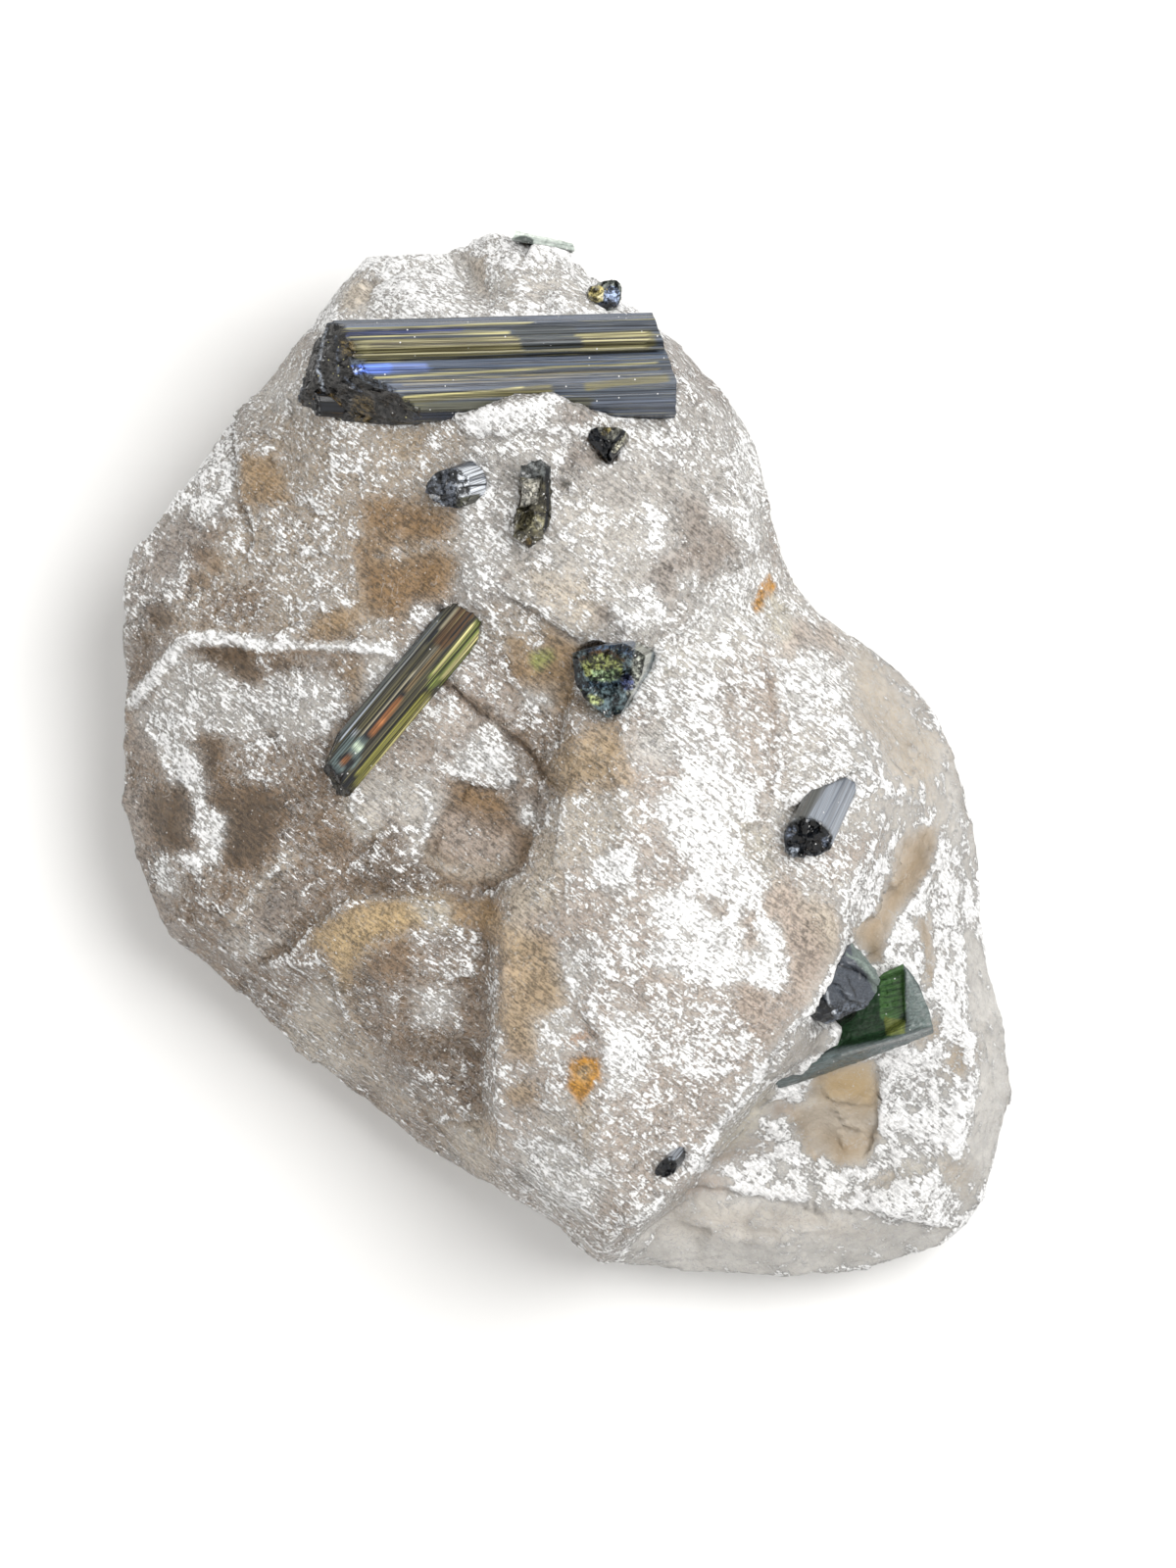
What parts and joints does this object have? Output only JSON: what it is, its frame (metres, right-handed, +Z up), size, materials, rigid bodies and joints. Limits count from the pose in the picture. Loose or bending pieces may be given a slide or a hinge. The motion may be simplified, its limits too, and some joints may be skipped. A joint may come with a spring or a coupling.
{
  "type": "tourmalinated quartz",
  "caption": "Rough lump of smoky quartz with dark and green tourmaline crystals set in it, resting on a flat fracture face.",
  "frame": {"origin": "middle of the whole stone, on the surface that it rests on", "axes": "+Z up; +Y along the stone's length, towards the end with the large crystal; +X across it, towards the low terrace"},
  "size_m": [0.0938, 0.1095, 0.0492],
  "materials": {
    "smoky_quartz": "glassy fracture faces, smoky to clear, with patches of white frost",
    "black_tourmaline": "glossy and striated, blue-black with olive streaks",
    "green_tourmaline": "glossy and striated, dark green to golden where light passes"
  },
  "bodies": {
    "root": {"quartz_matrix": "smoky_quartz", "tourmaline_large_bar": "black_tourmaline", "tourmaline_diagonal_prism": "green_tourmaline", "tourmaline_valley_stub": "black_tourmaline", "tourmaline_right_stub": "black_tourmaline", "tourmaline_small_stub": "black_tourmaline", "tourmaline_black_chip": "black_tourmaline", "tourmaline_shard": "black_tourmaline", "tourmaline_top_nub": "black_tourmaline", "tourmaline_top_splinter": "black_tourmaline", "tourmaline_broken_mass": "black_tourmaline", "tourmaline_dark_wedge": "black_tourmaline", "tourmaline_green_blade": "green_tourmaline"}
  },
  "joints": []
}
